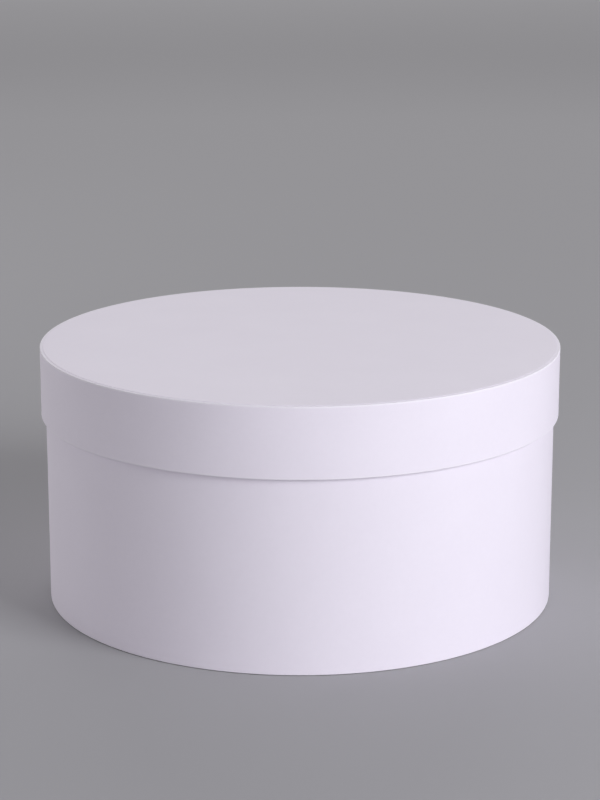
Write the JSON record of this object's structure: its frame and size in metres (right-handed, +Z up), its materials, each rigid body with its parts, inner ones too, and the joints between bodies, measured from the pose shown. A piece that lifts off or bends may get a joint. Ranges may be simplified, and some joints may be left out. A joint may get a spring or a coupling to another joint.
{
  "type": "hat box",
  "caption": "Round storage box with an overlapping lift-off lid, of paper-covered board, for keeping a hat or other light goods.",
  "frame": {"origin": "centre of the box's round underside, on the surface it stands on", "axes": "+Z up along the box's axis, towards the lid; +Y towards the back, where every butt joint and paper lap is; +X to the right when the box is seen from the front"},
  "size_m": [0.3, 0.3002, 0.15],
  "materials": {
    "wrap_paper": "satin",
    "lining_paper": "matte",
    "greyboard": "matte",
    "kraft_tape": "matte"
  },
  "bodies": {
    "box": {"wall_board": "greyboard", "wall_joint_tape": "kraft_tape", "base_board": "greyboard", "body_wrap": "wrap_paper", "base_cover_paper": "wrap_paper", "wall_lining": "lining_paper", "base_lining": "lining_paper"},
    "lid": {"lid_board": "greyboard", "lid_hoop_board": "greyboard", "lid_joint_tape": "kraft_tape", "lid_rim_wrap": "wrap_paper", "lid_cover_paper": "wrap_paper", "lid_hoop_lining": "lining_paper", "lid_lining": "lining_paper"}
  },
  "joints": [
    {"name": "lid_lift", "type": "slide", "parent": "box", "child": "lid", "axis": [0, 0, 1], "range_m": [0, 0.2]}
  ]
}
